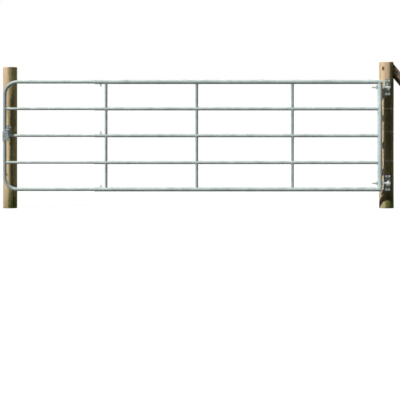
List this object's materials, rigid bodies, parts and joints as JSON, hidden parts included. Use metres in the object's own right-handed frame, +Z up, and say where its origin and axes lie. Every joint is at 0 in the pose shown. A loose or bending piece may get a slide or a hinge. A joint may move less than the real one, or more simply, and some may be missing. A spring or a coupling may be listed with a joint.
{
  "type": "pasture gate",
  "caption": "Tubular pasture gate of adjustable length with a throw-over latch hook, hung on a round timber post with a diagonal brace and closing against a second post.",
  "frame": {"origin": "centre of the hinge post's foot, at ground level", "axes": "+X along the closed gate from the latch post towards the hinge post and its brace, +Y from the front of the gate to its back, +Z up"},
  "size_m": [5.0883, 0.2698, 1.45],
  "materials": {
    "galvanised_tube": "hot-dip galvanised tube, satin with faint spangle",
    "galvanised_fittings": "hot-dip galvanised plate and bar, duller than the tube",
    "zinc_bolts": "zinc-plated bolts, nuts and pins",
    "post_timber": "pressure-treated round softwood, weathered, with drying checks",
    "brace_timber": "pressure-treated round softwood, weathered"
  },
  "bodies": {
    "posts": {"hinge_post": "post_timber", "latch_post": "post_timber", "hinge_post_brace": "brace_timber", "hinge_plates": "galvanised_fittings", "hinge_pins": "galvanised_fittings", "latch_striker": "galvanised_fittings"},
    "leaf": {"hinge_stile": "galvanised_tube", "leaf_top_rail": "galvanised_tube", "leaf_rail_2": "galvanised_tube", "leaf_rail_3": "galvanised_tube", "leaf_rail_4": "galvanised_tube", "leaf_bottom_rail": "galvanised_tube", "upright_near_hinge": "galvanised_tube", "upright_middle": "galvanised_tube", "upright_near_end": "galvanised_tube", "rail_end_caps": "galvanised_tube", "eye_bolts": "zinc_bolts", "eye_bolt_nuts": "zinc_bolts", "lock_nuts": "zinc_bolts", "lock_screws": "zinc_bolts"},
    "extension": {"extension_frame": "galvanised_tube", "extension_rail_2": "galvanised_tube", "extension_rail_3": "galvanised_tube", "extension_rail_4": "galvanised_tube", "latch_bracket": "galvanised_fittings", "latch_bracket_bolts": "zinc_bolts", "latch_pivot_pin": "zinc_bolts"},
    "hook": {"latch_hook": "galvanised_fittings"}
  },
  "joints": [
    {"name": "gate_swing", "type": "hinge", "parent": "posts", "child": "leaf", "pos_m": [0, -0.122, 0.72], "axis": [0, 0, 1], "range_deg": [0, 180]},
    {"name": "extension_slide", "type": "slide", "parent": "leaf", "child": "extension", "axis": [1, 0, 0], "range_m": [-0.27, 0.7]},
    {"name": "latch_hook_turn", "type": "hinge", "parent": "extension", "child": "hook", "pos_m": [-3.743, -0.16, 0.778], "axis": [-1, 0, 0], "range_deg": [0, 270]}
  ]
}
